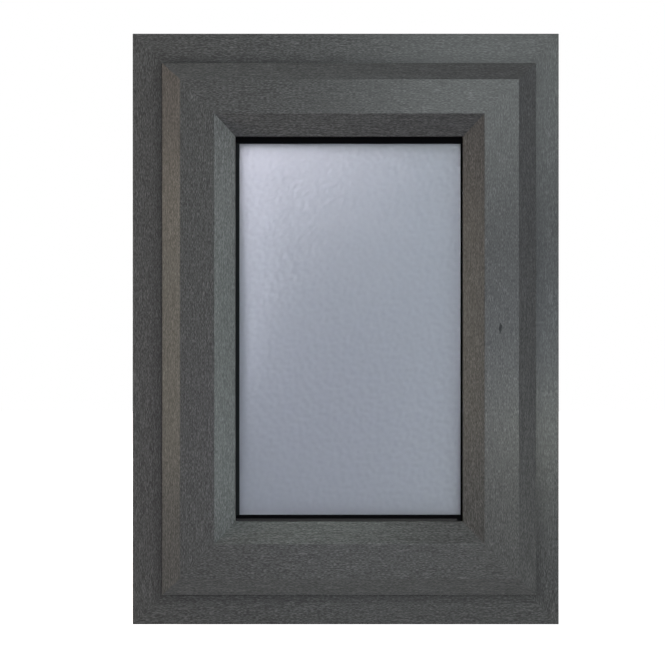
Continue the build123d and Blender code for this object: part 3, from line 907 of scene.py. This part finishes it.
def studio_world():
    world = bpy.data.worlds.new("studio")
    world.use_nodes = True
    tree = world.node_tree
    tree.nodes.clear()
    path, mirrored = light_path(tree)
    seen = larger(tree, mirrored, 0, path, "Is Camera Ray")
    dim = add(tree, "ShaderNodeBackground", {"Color": WHITE, "Strength": WORLD_LEVEL})
    white = add(tree, "ShaderNodeBackground", {"Color": WHITE})
    surface = either_shader(tree, seen, dim, white)
    link(tree, surface, 0, add(tree, "ShaderNodeOutputWorld"), "Surface")
    return world


bpy.context.scene.world = studio_world()
print("the world lights the window at", WORLD_LEVEL)

# %% [markdown]
# A foiled window shows its light by what each slope reflects. The flat faces see what stands behind the
# camera, the slopes see what stands far to the sides. So cool softboxes stand behind the camera to the
# right, and warm strips at the left light the slopes that face left. A faint violet one low in front takes a
# green cast off the lower bars. Two lamps behind the window shine through its glass.

# %% Softboxes
WINDOW_MIDDLE = Vector((0, frame_front, (cad_low.z + cad_high.z) / 2))
ALL_WAYS = 180


def softbox(name, place, size, power, colour, aim=WINDOW_MIDDLE, spread=ALL_WAYS):
    """A rectangle of light: place and size in metres, power in watts, spread in degrees."""
    lamp = bpy.data.lights.new(name, "AREA")
    lamp.shape = "RECTANGLE"
    lamp.size, lamp.size_y = size
    lamp.energy = power
    lamp.color = colour
    lamp.spread = math.radians(spread)
    holder = bpy.data.objects.new(name, lamp)
    holder.location = place
    holder.rotation_euler = (aim - Vector(place)).to_track_quat("-Z", "Y").to_euler()
    holder.visible_camera = False
    bpy.context.scene.collection.objects.link(holder)


softbox("cool_right", (0.53, -2.01, 1.12), (0.7, 0.7), 18.1, (0.902, 1.0, 0.982))
softbox("cool_right_low", (0.75, -2.16, 0.25), (0.7, 0.5), 10.1, (0.834, 0.939, 1.0))
softbox("low_front", (0.0, -1.0, 0.1), (0.3, 0.15), 0.54, (0.613, 0.1, 1.0))
softbox("warm_left", (-0.96, -0.32, 0.30), (0.25, 0.7), 3.79, (1.0, 0.88, 0.658))
softbox("warm_left_high", (-0.71, -0.23, 0.72), (0.22, 0.5), 0.637, (1.0, 0.688, 0.481))
softbox("behind_high", (-0.45, 2.2, 1.5), (1.0, 1.0), 19.2, (1.0, 0.83, 0.836))
softbox("behind_left", (-0.65, 1.2, 0.45), (0.4, 0.4), 10.7, (1.0, 0.885, 0.89))
print("softboxes:", len(bpy.data.lights))

# %% [markdown]
# The slopes next to the glass lie deep between the bars, and so far they are too dark. More light from all
# sides would lift the flat faces too. A honeycomb grid on a softbox keeps its light to a narrow beam, which
# passes over the right stile or the top rail and reaches one slope only. So each of these lamps has a point
# to aim at. The last one lights the foot of the right side.

# %% Softboxes with a honeycomb grid
LEFT_SLOPE_ACROSS, SLOPE_FORWARD = -123 * MM, -45 * MM
LEFT_SLOPE = Vector((LEFT_SLOPE_ACROSS, SLOPE_FORWARD, 305 * MM))
LEFT_SLOPE_TOP = Vector((LEFT_SLOPE_ACROSS, SLOPE_FORWARD, 550 * MM))
LEFT_SLOPE_FOOT = Vector((LEFT_SLOPE_ACROSS, SLOPE_FORWARD, 50 * MM))
LOWER_SLOPE = Vector((-50 * MM, SLOPE_FORWARD, 100 * MM))
RIGHT_FOOT = Vector((160 * MM, frame_front, 80 * MM))
BEAM, WIDER, NARROWER = 36, 40, 24
STRIP, SMALL, SMALL_LEVEL = (0.1, 1.1), (0.1, 0.3), (0.3, 0.1)
softbox("grid_right", (0.288, -0.228, 0.305), STRIP, 0.195, (0.856, 1.0, 0.953), LEFT_SLOPE, BEAM)
softbox("grid_right_high", (0.43, -0.29, 0.62), SMALL, 0.014, (1.0, 1.0, 1.0), LEFT_SLOPE_TOP, NARROWER)
softbox("grid_right_low", (0.43, -0.29, 0.0), SMALL, 0.017, (0.825, 0.985, 1.0), LEFT_SLOPE_FOOT, NARROWER)
softbox("grid_above", (-0.08, -0.27, 0.95), SMALL_LEVEL, 0.048, (0.84, 1.0, 0.919), LOWER_SLOPE, NARROWER)
softbox("grid_corner", (0.45, -0.90, 0.10), (0.25, 0.15), 0.114, (0.937, 1.0, 0.846), RIGHT_FOOT, WIDER)
print("with the gridded ones:", len(bpy.data.lights))

# %% [markdown]
# Blender's usual view transform rolls off bright colours, which suits photographs of sunlit scenes. Here a
# white surround has to stay white and a grey has to come out as written, so the view is Standard.

# %% View
bpy.context.scene.view_settings.view_transform = "Standard"
print("view transform:", bpy.context.scene.view_settings.view_transform)
